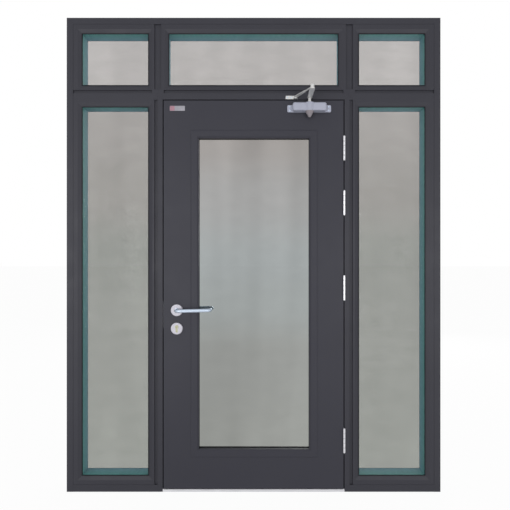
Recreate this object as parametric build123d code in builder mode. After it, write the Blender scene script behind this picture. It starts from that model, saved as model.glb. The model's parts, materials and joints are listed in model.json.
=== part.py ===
from build123d import *
import os

# Glazed steel entrance screen: one hinged leaf between two sidelights, under three top lites.
# Millimetres. X to the right, Y away from the viewer, Z up.
# The origin is on the floor, mid-width and mid-depth of the frame.

# Outer frame
WIDTH = 2022
HEIGHT = 2565
DEPTH = 125
FRONT = -DEPTH / 2
REAR = DEPTH / 2
FLANGE = 34
SILL_FLANGE = 38
PLATFORM = 15
WALL = 2.5
FIXING_HEIGHTS = (300, 900, 1500, 2100)
FIXING_RADIUS = 5

# Glazing: two panes behind folded beads, with a liner that keeps them apart
BEAD_DEPTH = 10
LIP_HEIGHT = 2
BEAD_SHEET = 1.5
BEVEL = 22
REAR_BEVEL = 12
JOINT = 1
PANE = 5
LINER = 4
SEAT = FRONT + BEAD_DEPTH
MITRE_REACH = 80

# Mullions and transom, their centre lines hidden behind the beads but for a recessed strip
MULLION_OUTER = 552
MULLION_INNER = 501
STRIP_OUTER = 537
STRIP_TOP = 2174
STRIP_BOTTOM = 2157
TRANSOM_TOP = 2186
SIDE_TRANSOM_BOTTOM = 2100
CROSSING_OUTER = 550
CROSSING_TOP = 2179
CROSSING_FOOT = 2121

# Daylight edges of the beads, and how far the liner stands back from them
LIP_JAMB = 930
LIP_MULLION = 569.5
LIP_CENTRE = 460
LIP_HEAD = 2482
LIP_TOP_LITE = 2200.5
LIP_SIDE_TOP = 2084.8
LIP_SILL = 85.6
SETBACK = 9
CENTRE_SETBACK = 6

# Pressed door frame round the leaf
DOOR_HALF = 492
DOOR_TOP = 2122.5
DOOR_LAND = 28
DOOR_STOP = 18
STOP_DEPTH = 55
STOP_FLANGE = 6
DOOR_SHEET = 2
SEAL_WIDTH = 8
SEAL_DEPTH = 4.6
SEAL_LAP = 2
THRESHOLD_HEIGHT = 15
THRESHOLD_GROOVES = (-40, -25, -10, 20, 35)
THRESHOLD_CHAMFER = 4
GROOVE_WIDTH = 4
GROOVE_DEPTH = 1.5

# Leaf
LEAF_GAP = 5
LEAF_BOTTOM = 17
LEAF_DEPTH = 50
SKIN = 1.5
LEAF_HALF = DOOR_HALF - LEAF_GAP
LEAF_TOP = DOOR_TOP - LEAF_GAP
LEAF_REAR = FRONT + LEAF_DEPTH
LEAF_MIDDLE = FRONT + LEAF_DEPTH / 2
VISION = (-296.5, 302.2, 230.7, 1913.8)
VISION_BITE = 20
VISION_PANE = 14
VISION_BEAD = 45
VISION_RAISE = 4
VISION_SLOPE = 8
VISION_CROWN = 10
VISION_RETURN = 6

# Hinges: five knuckles each, with the axis in the gap and in front of the leaf
HINGE_HEIGHTS = (1858, 1563, 1104, 280)
HINGE_LENGTH = 127
KNUCKLES = 5
KNUCKLE_GAP = 0.4
BARREL_RADIUS = 7
PIN_RADIUS = 4
PIN_TIP_RADIUS = 6
PIN_TIP = 3
RUNNING_FIT = 0.05
HINGE_PLATE = 2.2
HINGE_PLATE_DEPTH = 36
HINGE_STAND_OFF = 7.5
HINGE_X = LEAF_HALF + LEAF_GAP / 2
HINGE_Y = FRONT - HINGE_STAND_OFF

# Lock, its bolts and the profile cylinder
LOCK_X = -415
LEVER_Z = 983
PLUG_Z = 893.5
ESCUTCHEON_Z = 884
LATCH_Z = LEVER_Z
BOLT_Z = 930
CASE_X = (-484, -385)
CASE_Z = (842, 1042)
CASE_THICKNESS = 20
FOREND_WIDTH = 24
FOREND_Z = (822, 1062)
LATCH_SIZE = (12, 22)
LATCH_LENGTH = 46
LATCH_THROW = 12
LATCH_NOSE = 3
LATCH_BEVEL = 9
BOLT_SIZE = (14, 34)
BOLT_LENGTH = 48
BOLT_CHAMFER = 1.5
SLIDE_FIT = 0.5
STRIKE_THICKNESS = 2
STRIKE_WIDTH = 36
STRIKE_Z = (880, 1030)
STRIKE_CORNER = 5
STRIKE_GAP = 1.5
DUST_SHEET = 0.8
LATCH_BOX_DEPTH = 8.5
BOLT_BOX_DEPTH = 18
JAMB_HOLE_GAP = 2.5
MULLION_HOLE_GAP = 3
CYLINDER_RADIUS = 9.5
CYLINDER_WEB = 11
CYLINDER_HEIGHT = 40
CYLINDER_LENGTH = 70
PLUG_RADIUS = 7
PLUG_LENGTH = 29.5
PLUG_END_GAP = 1
KEYWAY = (2.2, 8, 20)
KEYWAY_DROP = 1.5
SPINDLE_HOLE = 12
FOLLOWER_RADIUS = 6.5
SKIN_GAP = 1
CASE_GAP = 0.2

# Lever handles on round roses
ROSE_RADIUS = 33
ROSE_THICKNESS = 9
ROSE_ROUND = 4
ROSE_GAP = 0.3
COLLAR_RADIUS = 11
COLLAR_LENGTH = 14
LEVER_GAP = 1
LEVER_RADIUS = 9.5
LEVER_REACH = 183
LEVER_OUT = 55
LEVER_RISE = 4
LEVER_BEND = 22
LEVER_RETURN = 14
SPINDLE = 8
SPINDLE_GRIP = 20

# Door closer: body on the leaf, shoe on the door head, two arms above the leaf
CLOSER_X = 300
CLOSER_Y = FRONT - 32
CLOSER_Z = (2053, 2097)
CLOSER_LENGTH = 180
CLOSER_DEPTH = 46
CLOSER_ROUND = 9
CLOSER_CHAMFER = 6
HOUSING_RADIUS = 23
BOSS_RADIUS = 15
BOSS_HEIGHT = 3
EAR_LENGTH = 236
EAR_Z = (2052, 2090)
EAR_THICKNESS = 8
EAR_CORNER = 7
CAP_TIP_Z = 2020
CAP_TIP_RADIUS = 6
CAP_RADIUS = 22
CAP_SHOULDER = 5
PINION_RADIUS = 8
PINION_FOOT = 2060
PINION_END_GAP = 1
ARM_Z = (2120.5, 2126.5)
ARM_RADIUS = 12
ARM_ELBOW_RADIUS = 13
ELBOW_X = 297.5
ELBOW_Y = FRONT - 200
SHOE_X = 226
SHOE_Y = FRONT - 20
SHOE_PLATE_X = (173, 236)
SHOE_PLATE_Z = (2123, 2141)
SHOE_THICKNESS = 6
SHOE_CORNER = 4
LUG_RADIUS = 10
LUG_TOP = 2128.5
FOREARM_Z = (2129, 2135)
FOREARM_EYE_RADIUS = 9
FOREARM_TIP_RADIUS = 6
FOREARM_BAR_SHARE = 0.55
ROD_SHARE = 0.55
ROD_RADIUS = 4
SHOE_PIN_TAIL = 1.5
ELBOW_HEAD_Z = (2127, 2145)
ELBOW_HEAD_RADIUS = 10
ELBOW_HEAD_ROUND = 3

os.makedirs("parts", exist_ok=True)


def save(piece, label):
    piece.label = label
    export_step(piece, f"parts/{label}.step")


def block(x, y, z, mode=Mode.ADD):
    """Box between three pairs of limits."""
    middle = ((x[0] + x[1]) / 2, (y[0] + y[1]) / 2, (z[0] + z[1]) / 2)
    with Locations(middle):
        Box(abs(x[1] - x[0]), abs(y[1] - y[0]), abs(z[1] - z[0]), mode=mode)


def tube(x, y, z, axis):
    """Rectangular hollow section, open at both ends along one axis."""
    block(x, y, z)
    limits = [x, y, z]
    for number, limit in enumerate(limits):
        if number != axis:
            limits[number] = (min(limit) + WALL, max(limit) - WALL)
    block(*limits, mode=Mode.SUBTRACT)


def about(middle, size):
    """Pair of limits about a middle."""
    return (middle - size / 2, middle + size / 2)


# Perimeter frame: each member is a welded section with a flange as deep as the frame
# and a shallower platform that the glass stands on. The head is mitred to the jambs.
FRAME_Y = (FRONT, REAR)
PLATFORM_Y = (SEAT, -SEAT)
JAMB_INNER = WIDTH / 2 - FLANGE
JAMB_PLATFORM = JAMB_INNER - PLATFORM
HEAD_INNER = HEIGHT - FLANGE
HEAD_PLATFORM = HEAD_INNER - PLATFORM
SILL_PLATFORM = SILL_FLANGE + PLATFORM


def corner_mitre(side):
    return Plane(origin=(side * WIDTH / 2, 0, HEIGHT), z_dir=(-side, 0, 1))


for side, label in ((-1, "left_jamb"), (1, "right_jamb")):
    with BuildPart() as jamb:
        tube((side * WIDTH / 2, side * JAMB_INNER), FRAME_Y, (0, HEIGHT), axis=2)
        tube((side * JAMB_INNER, side * JAMB_PLATFORM), PLATFORM_Y, (SILL_FLANGE, HEIGHT), axis=2)
        with Locations([(side * JAMB_INNER, 0, height) for height in FIXING_HEIGHTS]):
            Cylinder(FIXING_RADIUS, 3 * FLANGE, rotation=(0, 90, 0), mode=Mode.SUBTRACT)
        split(bisect_by=corner_mitre(side), keep=Keep.BOTTOM)
    save(jamb.part, label)

with BuildPart() as head:
    tube((-WIDTH / 2, WIDTH / 2), FRAME_Y, (HEAD_INNER, HEIGHT), axis=0)
    tube((-WIDTH / 2, WIDTH / 2), PLATFORM_Y, (HEAD_PLATFORM, HEAD_INNER), axis=0)
    split(bisect_by=corner_mitre(-1), keep=Keep.TOP)
    split(bisect_by=corner_mitre(1), keep=Keep.TOP)
save(head.part, "head")

for side, label in ((-1, "left_sill"), (1, "right_sill")):
    with BuildPart() as sill:
        tube((side * JAMB_INNER, side * MULLION_INNER), FRAME_Y, (0, SILL_FLANGE), axis=0)
        tube(
            (side * JAMB_PLATFORM, side * MULLION_OUTER),
            PLATFORM_Y,
            (SILL_FLANGE, SILL_PLATFORM),
            axis=0,
        )
    save(sill.part, label)

# Mullions stand on the sills. Above the transom each has a second platform for the centre
# lite. A raised patch marks where its recessed strip meets that of the transom.
LAND_EDGE = DOOR_HALF + DOOR_LAND
INNER_PLATFORM = MULLION_INNER - PLATFORM

for side, label in ((-1, "left_mullion"), (1, "right_mullion")):
    with BuildPart() as mullion:
        tube(
            (side * MULLION_OUTER, side * MULLION_INNER),
            PLATFORM_Y,
            (SILL_FLANGE, HEAD_PLATFORM),
            axis=2,
        )
        tube(
            (side * MULLION_INNER, side * INNER_PLATFORM),
            PLATFORM_Y,
            (TRANSOM_TOP, HEAD_PLATFORM),
            axis=2,
        )
        patch_y = (FRONT, SEAT)
        block((side * CROSSING_OUTER, side * INNER_PLATFORM), patch_y, (STRIP_BOTTOM, STRIP_TOP))
        block((side * STRIP_OUTER, side * MULLION_INNER), patch_y, (STRIP_BOTTOM, CROSSING_TOP))
        block((side * STRIP_OUTER, side * LAND_EDGE), patch_y, (CROSSING_FOOT, STRIP_BOTTOM))
        if side < 0:
            block(
                about(-MULLION_INNER, 3 * WALL),
                about(LEAF_MIDDLE, BOLT_SIZE[0] + 2 * MULLION_HOLE_GAP),
                about(BOLT_Z, BOLT_SIZE[1] + 2 * MULLION_HOLE_GAP),
                mode=Mode.SUBTRACT,
            )
    save(mullion.part, label)

# Transom in three lengths. The middle one stands over the pressed door frame.
FRAME_CAVITY = MULLION_INNER - DOOR_HALF

for side, label in ((-1, "left_transom"), (1, "right_transom")):
    with BuildPart() as side_transom:
        tube(
            (side * JAMB_PLATFORM, side * MULLION_OUTER),
            PLATFORM_Y,
            (SIDE_TRANSOM_BOTTOM, TRANSOM_TOP),
            axis=0,
        )
    save(side_transom.part, label)

with BuildPart() as centre_transom:
    tube(
        (-MULLION_INNER, MULLION_INNER),
        PLATFORM_Y,
        (DOOR_TOP + FRAME_CAVITY, TRANSOM_TOP),
        axis=0,
    )
save(centre_transom.part, "centre_transom")


# Beads: folded channels, mitred, four in front of each lite and four behind it
def glazing_bead(width, bevel):
    return [
        (width, 0),
        (width, BEAD_DEPTH),
        (bevel, BEAD_DEPTH),
        (0, LIP_HEIGHT),
        (0, 0),
    ]


def bead_bars(lip, edge, seat, face, outline):
    """Four mitred bars round an opening, each a sheet folded along the outline."""
    left, right, bottom, top = lip
    reach = MITRE_REACH
    corners = [(left, bottom), (right, bottom), (right, top), (left, top)]
    outer = [
        (left - reach, bottom - reach),
        (right + reach, bottom - reach),
        (right + reach, top + reach),
        (left - reach, top + reach),
    ]
    middle_x = (edge[0] + edge[1]) / 2
    middle_z = (edge[2] + edge[3]) / 2
    half_x = (edge[1] - edge[0]) / 2
    half_z = (edge[3] - edge[2]) / 2
    runs = [
        (Vector(0, 0, -1), (middle_x, seat, bottom), half_x, bottom - edge[2]),
        (Vector(1, 0, 0), (right, seat, middle_z), half_z, edge[1] - right),
        (Vector(0, 0, 1), (middle_x, seat, top), half_x, edge[3] - top),
        (Vector(-1, 0, 0), (left, seat, middle_z), half_z, left - edge[0]),
    ]
    bars = []
    for number, (outward, start, half_length, width) in enumerate(runs):
        following = (number + 1) % 4
        wedge = [corners[number], corners[following], outer[following], outer[number]]
        along = outward.cross(Vector(0, face, 0))
        with BuildPart() as bar:
            with BuildSketch(Plane(origin=start, x_dir=outward, z_dir=along)):
                with BuildLine():
                    Polyline(*outline(width))
                    offset(amount=BEAD_SHEET, side=Side.LEFT, kind=Kind.INTERSECTION)
                make_face()
            extrude(amount=half_length, both=True)
            with BuildSketch(Plane.XZ):
                Polygon(*wedge, align=None)
            extrude(amount=DEPTH, both=True, mode=Mode.INTERSECT)
        bars.append(bar.part.solid())
    return bars


def grow(limits, left, right, bottom, top):
    return (limits[0] - left, limits[1] + right, limits[2] - bottom, limits[3] + top)


def swap_sides(limits):
    return (-limits[1], -limits[0], limits[2], limits[3])


TOP_EDGES = (STRIP_TOP, HEAD_INNER - JOINT)
SIDE_EDGES = (SILL_FLANGE + JOINT, STRIP_BOTTOM)
LEFT_LIP = (-LIP_JAMB, -LIP_MULLION)
LEFT_EDGE = (-(JAMB_INNER - JOINT), -STRIP_OUTER)
LEFT_PANE = (-JAMB_PLATFORM, -MULLION_OUTER)

# Each lite: daylight lips, outer edges of the front beads, panes, and liner setbacks
lites = {
    "left_top": (
        (*LEFT_LIP, LIP_TOP_LITE, LIP_HEAD),
        (*LEFT_EDGE, *TOP_EDGES),
        (*LEFT_PANE, TRANSOM_TOP, HEAD_PLATFORM),
        (0, SETBACK, SETBACK, 0),
    ),
    "centre_top": (
        (-LIP_CENTRE, LIP_CENTRE, LIP_TOP_LITE, LIP_HEAD),
        (-MULLION_INNER, MULLION_INNER, *TOP_EDGES),
        (-INNER_PLATFORM, INNER_PLATFORM, TRANSOM_TOP, HEAD_PLATFORM),
        (CENTRE_SETBACK, CENTRE_SETBACK, SETBACK, 0),
    ),
    "left_side": (
        (*LEFT_LIP, LIP_SILL, LIP_SIDE_TOP),
        (*LEFT_EDGE, *SIDE_EDGES),
        (*LEFT_PANE, SILL_PLATFORM, SIDE_TRANSOM_BOTTOM),
        (0, SETBACK, 0, 0),
    ),
}
for level in ("top", "side"):
    lip, edge, pane, setback = lites[f"left_{level}"]
    lites[f"right_{level}"] = (
        swap_sides(lip),
        swap_sides(edge),
        swap_sides(pane),
        (setback[1], setback[0], setback[2], setback[3]),
    )

for name, (lip, edge, pane, setback) in lites.items():
    liner_face = grow(lip, *setback)
    liner_back = grow(liner_face, LINER, LINER, LINER, LINER)
    front_bars = bead_bars(lip, edge, SEAT, -1, lambda width: glazing_bead(width, BEVEL))
    rear_bars = bead_bars(
        liner_back, edge, -SEAT, 1, lambda width: glazing_bead(width, REAR_BEVEL)
    )
    save(Compound(children=front_bars + rear_bars), f"{name}_beads")

    with BuildPart() as panes:
        block(pane[:2], (SEAT, SEAT + PANE), pane[2:])
        block(pane[:2], (-SEAT - PANE, -SEAT), pane[2:])
    save(panes.part, f"{name}_panes")

    liner_y = (SEAT + PANE, -SEAT - PANE)
    with BuildPart() as liner:
        block(liner_back[:2], liner_y, liner_back[2:])
        block(liner_face[:2], liner_y, liner_face[2:], mode=Mode.SUBTRACT)
    save(liner.part, f"{name}_liner")

# Pressed door frame: two folded sheets to each member, as distance from the leaf and depth.
# The front sheet makes the land and the rebate. The rear one makes the stop and the rear land,
# and a flange behind the stop carries the edge of the front sheet.
STOP_Y = FRONT + STOP_DEPTH


def pressed_sheets(face, land_edge):
    front_sheet = [
        (land_edge, SEAT),
        (land_edge, FRONT),
        (face, FRONT),
        (face, STOP_Y),
    ]
    rear_sheet = [
        (face + STOP_FLANGE, STOP_Y),
        (face - DOOR_STOP, STOP_Y),
        (face - DOOR_STOP, REAR),
        (land_edge, REAR),
        (land_edge, -SEAT),
    ]
    return front_sheet, rear_sheet


def leaf_mitre(side):
    return Plane(origin=(side * DOOR_HALF, 0, DOOR_TOP), z_dir=(-side, 0, 1))


for side, label in ((-1, "door_lock_jamb"), (1, "door_hinge_jamb")):
    jamb_sheets = []
    for folds in pressed_sheets(DOOR_HALF, LAND_EDGE):
        with BuildPart() as jamb_sheet:
            with BuildSketch(Plane(origin=(0, 0, 0), x_dir=(side, 0, 0), z_dir=(0, 0, side))):
                with BuildLine():
                    Polyline(*folds)
                    offset(amount=DOOR_SHEET, side=Side.RIGHT, kind=Kind.INTERSECTION)
                make_face()
            extrude(amount=side * HEIGHT)
            split(bisect_by=leaf_mitre(side), keep=Keep.BOTTOM)
            block(
                (side * LAND_EDGE, side * MULLION_INNER),
                (FRONT, REAR),
                (0, SILL_FLANGE),
                mode=Mode.SUBTRACT,
            )
            if side < 0:
                for height, (thickness, tall) in ((LATCH_Z, LATCH_SIZE), (BOLT_Z, BOLT_SIZE)):
                    block(
                        about(-DOOR_HALF, 3 * DOOR_SHEET),
                        about(LEAF_MIDDLE, thickness + 2 * JAMB_HOLE_GAP),
                        about(height, tall + 2 * JAMB_HOLE_GAP),
                        mode=Mode.SUBTRACT,
                    )
        jamb_sheets.append(jamb_sheet.part.solid())
    save(Compound(children=jamb_sheets), label)

head_sheets = []
for folds in pressed_sheets(DOOR_TOP, STRIP_BOTTOM):
    with BuildPart() as head_sheet:
        with BuildSketch(Plane.YZ):
            with BuildLine():
                Polyline(*[(depth, height) for height, depth in folds])
                offset(amount=DOOR_SHEET, side=Side.LEFT, kind=Kind.INTERSECTION)
            make_face()
        extrude(amount=LAND_EDGE, both=True)
        split(bisect_by=leaf_mitre(-1), keep=Keep.TOP)
        split(bisect_by=leaf_mitre(1), keep=Keep.TOP)
    head_sheets.append(head_sheet.part.solid())
save(Compound(children=head_sheets), "door_head")

with BuildPart() as threshold:
    block((-DOOR_HALF, DOOR_HALF), (FRONT, STOP_Y), (0, THRESHOLD_HEIGHT))
    stop_half = DOOR_HALF - DOOR_STOP
    block((-stop_half, stop_half), (STOP_Y, REAR), (0, THRESHOLD_HEIGHT))
    top_edges = threshold.faces().sort_by(Axis.Z)[-1].edges().filter_by(Axis.X)
    chamfer([top_edges.sort_by(Axis.Y)[0], top_edges.sort_by(Axis.Y)[-1]], THRESHOLD_CHAMFER)
    for groove in THRESHOLD_GROOVES:
        block(
            (-stop_half, stop_half),
            about(groove, GROOVE_WIDTH),
            about(THRESHOLD_HEIGHT, 2 * GROOVE_DEPTH),
            mode=Mode.SUBTRACT,
        )
save(threshold.part, "threshold")

with BuildPart() as rebate_seal:
    seal_y = (STOP_Y - SEAL_DEPTH, STOP_Y)
    seal_half = stop_half + SEAL_WIDTH + SEAL_LAP
    seal_top = DOOR_TOP - DOOR_STOP + SEAL_WIDTH + SEAL_LAP
    block((-seal_half, seal_half), seal_y, (THRESHOLD_HEIGHT, seal_top))
    block(
        (SEAL_WIDTH - seal_half, seal_half - SEAL_WIDTH),
        seal_y,
        (THRESHOLD_HEIGHT, seal_top - SEAL_WIDTH),
        mode=Mode.SUBTRACT,
    )
save(rebate_seal.part, "rebate_seal")

# Strike plate on the lock jamb, with a sheet dust box behind each keep that shuts the keep off
# from the hollow jamb
keeps = []
for height, (thickness, tall) in ((LATCH_Z, LATCH_SIZE), (BOLT_Z, BOLT_SIZE)):
    keeps.append((height, thickness + 2 * STRIKE_GAP, tall + 2 * STRIKE_GAP))
with BuildPart() as plate:
    strike_x = (-DOOR_HALF, STRIKE_THICKNESS - DOOR_HALF)
    block(strike_x, about(LEAF_MIDDLE, STRIKE_WIDTH), STRIKE_Z)
    fillet(plate.edges().filter_by(Axis.X), STRIKE_CORNER)
    for height, deep, tall in keeps:
        block(strike_x, about(LEAF_MIDDLE, deep), about(height, tall), mode=Mode.SUBTRACT)
strike_plate = [plate.part.solid()]
for (height, deep, tall), reach in zip(keeps, (LATCH_BOX_DEPTH, BOLT_BOX_DEPTH)):
    with BuildPart() as dust_box:
        block(
            (-DOOR_HALF - reach, -DOOR_HALF),
            about(LEAF_MIDDLE, deep + 2 * DUST_SHEET),
            about(height, tall + 2 * DUST_SHEET),
        )
        block(
            (DUST_SHEET - DOOR_HALF - reach, -DOOR_HALF),
            about(LEAF_MIDDLE, deep),
            about(height, tall),
            mode=Mode.SUBTRACT,
        )
    strike_plate.append(dust_box.part.solid())
save(Compound(children=strike_plate), "strike_plate")

# Leaf: a folded front skin whose edges wrap the core, and a flat rear skin
vision_cut = grow(VISION, VISION_BITE, VISION_BITE, VISION_BITE, VISION_BITE)
LEAF_X = (-LEAF_HALF, LEAF_HALF)
LEAF_Z = (LEAF_BOTTOM, LEAF_TOP)
CORE_X = (SKIN - LEAF_HALF, LEAF_HALF - SKIN)
CORE_Z = (LEAF_BOTTOM + SKIN, LEAF_TOP - SKIN)
CORE_Y = (FRONT + SKIN, LEAF_REAR - SKIN)


def profile_outline(gap):
    """Front view of the profile cylinder, grown by a gap."""
    with BuildSketch(Plane.XZ) as outline:
        with Locations((LOCK_X, PLUG_Z)):
            Circle(CYLINDER_RADIUS + gap)
        foot = PLUG_Z + CYLINDER_RADIUS - CYLINDER_HEIGHT + CYLINDER_WEB / 2
        with Locations((LOCK_X, (PLUG_Z + foot) / 2)):
            SlotCenterToCenter(PLUG_Z - foot, CYLINDER_WEB + 2 * gap, rotation=90)
    return outline.sketch


def lock_openings():
    """Way through the leaf for the vision pane, the spindle and the cylinder."""
    block(vision_cut[:2], (FRONT, LEAF_REAR), vision_cut[2:], mode=Mode.SUBTRACT)
    with Locations((LOCK_X, LEAF_MIDDLE, LEVER_Z)):
        Cylinder(SPINDLE_HOLE, 2 * LEAF_DEPTH, rotation=(90, 0, 0), mode=Mode.SUBTRACT)
    extrude(profile_outline(SKIN_GAP), amount=DEPTH, both=True, mode=Mode.SUBTRACT)
    block(
        (-LEAF_HALF, CASE_X[0]),
        about(LEAF_MIDDLE, FOREND_WIDTH),
        FOREND_Z,
        mode=Mode.SUBTRACT,
    )


with BuildPart() as leaf_front_skin:
    block(LEAF_X, (FRONT, CORE_Y[1]), LEAF_Z)
    block(CORE_X, CORE_Y, CORE_Z, mode=Mode.SUBTRACT)
    lock_openings()
save(leaf_front_skin.part, "leaf_front_skin")

with BuildPart() as leaf_rear_skin:
    block(LEAF_X, (CORE_Y[1], LEAF_REAR), LEAF_Z)
    lock_openings()
save(leaf_rear_skin.part, "leaf_rear_skin")

# Core: rails and stiles of board round the vision pane, and smaller boards round the lock case
case_y = about(LEAF_MIDDLE, CASE_THICKNESS)
lock_stile_x = (CORE_X[0], vision_cut[0])
lock_side_x = (CORE_X[0], CASE_X[1])
core_limits = [
    (CORE_X, CORE_Y, (CORE_Z[0], vision_cut[2])),
    (CORE_X, CORE_Y, (vision_cut[3], CORE_Z[1])),
    ((vision_cut[1], CORE_X[1]), CORE_Y, vision_cut[2:]),
    (lock_stile_x, CORE_Y, (vision_cut[2], FOREND_Z[0])),
    (lock_stile_x, CORE_Y, (FOREND_Z[1], vision_cut[3])),
    ((CASE_X[1], vision_cut[0]), CORE_Y, FOREND_Z),
    (lock_side_x, (CORE_Y[0], case_y[0]), FOREND_Z),
    (lock_side_x, (case_y[1], CORE_Y[1]), FOREND_Z),
    (lock_side_x, case_y, (FOREND_Z[0], CASE_Z[0])),
    (lock_side_x, case_y, (CASE_Z[1], FOREND_Z[1])),
]
core_boards = []
for limits in core_limits:
    with BuildPart() as board:
        block(*limits)
        lock_openings()
    core_boards.append(board.part.solid())
save(Compound(children=core_boards), "leaf_core")

# Vision panel: one thick pane between two raised, bevelled rings
with BuildPart() as vision_pane:
    block(vision_cut[:2], about(LEAF_MIDDLE, VISION_PANE), vision_cut[2:])
save(vision_pane.part, "vision_pane")


def vision_bead(width):
    skin_level = (LEAF_DEPTH - VISION_PANE) / 2
    crown = skin_level + VISION_RAISE
    return [
        (width, skin_level),
        (width, skin_level + BEAD_SHEET),
        (width - VISION_SLOPE, crown),
        (VISION_CROWN, crown),
        (0, crown - VISION_RETURN),
        (0, 0),
    ]


vision_edge = grow(VISION, VISION_BEAD, VISION_BEAD, VISION_BEAD, VISION_BEAD)
vision_bars = []
for face in (-1, 1):
    pane_face = LEAF_MIDDLE + face * VISION_PANE / 2
    vision_bars += bead_bars(VISION, vision_edge, pane_face, face, vision_bead)
save(Compound(children=vision_bars), "vision_beads")

# Hinges: a plate on the leaf and a plate on the frame share one pin
HINGE_PITCH = HINGE_LENGTH / KNUCKLES
HINGE_PLATE_Y = (FRONT, FRONT + HINGE_PLATE_DEPTH)


def hinge_leaf(height, plate_x, knuckle_numbers):
    with BuildPart() as half:
        block(plate_x, HINGE_PLATE_Y, about(height, HINGE_LENGTH))
        for number in knuckle_numbers:
            middle = height - HINGE_LENGTH / 2 + (number + 0.5) * HINGE_PITCH
            knuckle_z = about(middle, HINGE_PITCH - KNUCKLE_GAP)
            block(plate_x, (HINGE_Y, FRONT), knuckle_z)
            with Locations((HINGE_X, HINGE_Y, middle)):
                Cylinder(BARREL_RADIUS, HINGE_PITCH - KNUCKLE_GAP)
        with Locations((HINGE_X, HINGE_Y, height)):
            Cylinder(PIN_RADIUS + RUNNING_FIT, 2 * HINGE_LENGTH, mode=Mode.SUBTRACT)
    return half.part


pins = []
for number, height in enumerate(HINGE_HEIGHTS, start=1):
    frame_plate_x = (DOOR_HALF - HINGE_PLATE, DOOR_HALF)
    leaf_plate_x = (LEAF_HALF, LEAF_HALF + HINGE_PLATE)
    save(hinge_leaf(height, frame_plate_x, (0, 2, 4)), f"hinge_{number}_frame_leaf")
    save(hinge_leaf(height, leaf_plate_x, (1, 3)), f"hinge_{number}_door_leaf")
    with BuildPart() as pin:
        with Locations((HINGE_X, HINGE_Y, height)):
            Cylinder(PIN_RADIUS, HINGE_LENGTH)
        for end in (-1, 1):
            with Locations((HINGE_X, HINGE_Y, height + end * (HINGE_LENGTH + PIN_TIP) / 2)):
                Cylinder(PIN_TIP_RADIUS, PIN_TIP)
    pins.append(pin.part.solid())
save(Compound(children=pins), "hinge_pins")

# Lock case let into the leaf's edge, with a latch and a dead bolt that slide in it
with BuildPart() as lock_case:
    block(CASE_X, case_y, CASE_Z)
    block((-LEAF_HALF, CASE_X[0]), about(LEAF_MIDDLE, FOREND_WIDTH), FOREND_Z)
    latch_tail = -LEAF_HALF - LATCH_THROW + LATCH_LENGTH
    block(
        (-LEAF_HALF, latch_tail + LATCH_THROW + SLIDE_FIT),
        about(LEAF_MIDDLE, LATCH_SIZE[0] + 2 * SLIDE_FIT),
        about(LATCH_Z, LATCH_SIZE[1] + 2 * SLIDE_FIT),
        mode=Mode.SUBTRACT,
    )
    block(
        (-LEAF_HALF, BOLT_LENGTH - LEAF_HALF + SLIDE_FIT),
        about(LEAF_MIDDLE, BOLT_SIZE[0] + 2 * SLIDE_FIT),
        about(BOLT_Z, BOLT_SIZE[1] + 2 * SLIDE_FIT),
        mode=Mode.SUBTRACT,
    )
    with Locations((LOCK_X, LEAF_MIDDLE, LEVER_Z)):
        Cylinder(FOLLOWER_RADIUS, LEAF_DEPTH, rotation=(90, 0, 0), mode=Mode.SUBTRACT)
    extrude(profile_outline(CASE_GAP), amount=DEPTH, both=True, mode=Mode.SUBTRACT)
save(lock_case.part, "lock_case")

with BuildPart() as latch_bolt:
    with BuildSketch(Plane.XY.offset(LATCH_Z)):
        nose = -LEAF_HALF - LATCH_THROW
        near, far = about(LEAF_MIDDLE, LATCH_SIZE[0])
        Polygon(
            (latch_tail, near),
            (nose, near),
            (nose, near + LATCH_NOSE),
            (nose + LATCH_BEVEL, far),
            (latch_tail, far),
            align=None,
        )
    extrude(amount=LATCH_SIZE[1] / 2, both=True)
save(latch_bolt.part, "latch_bolt")

with BuildPart() as dead_bolt:
    block(
        (-LEAF_HALF, BOLT_LENGTH - LEAF_HALF),
        about(LEAF_MIDDLE, BOLT_SIZE[0]),
        about(BOLT_Z, BOLT_SIZE[1]),
    )
    chamfer(dead_bolt.faces().sort_by(Axis.X)[0].edges(), BOLT_CHAMFER)
save(dead_bolt.part, "dead_bolt")

# Profile cylinder with a turning plug at each end
plug_bore = PLUG_LENGTH + PLUG_END_GAP
with BuildPart() as lock_cylinder:
    with Locations((0, LEAF_MIDDLE, 0)):
        add(extrude(profile_outline(0), amount=CYLINDER_LENGTH / 2, both=True, mode=Mode.PRIVATE))
    for end in (-1, 1):
        mouth = LEAF_MIDDLE + end * CYLINDER_LENGTH / 2
        with Locations((LOCK_X, mouth - end * plug_bore / 2, PLUG_Z)):
            Cylinder(
                PLUG_RADIUS + RUNNING_FIT,
                plug_bore,
                rotation=(90, 0, 0),
                mode=Mode.SUBTRACT,
            )
save(lock_cylinder.part, "lock_cylinder")

for end, label in ((-1, "front_plug"), (1, "rear_plug")):
    mouth = LEAF_MIDDLE + end * CYLINDER_LENGTH / 2
    with BuildPart() as plug:
        with Locations((LOCK_X, mouth - end * PLUG_LENGTH / 2, PLUG_Z)):
            Cylinder(PLUG_RADIUS, PLUG_LENGTH, rotation=(90, 0, 0))
        block(
            about(LOCK_X, KEYWAY[0]),
            (mouth, mouth - end * KEYWAY[2]),
            about(PLUG_Z - KEYWAY_DROP, KEYWAY[1]),
            mode=Mode.SUBTRACT,
        )
    save(plug.part, label)

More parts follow.
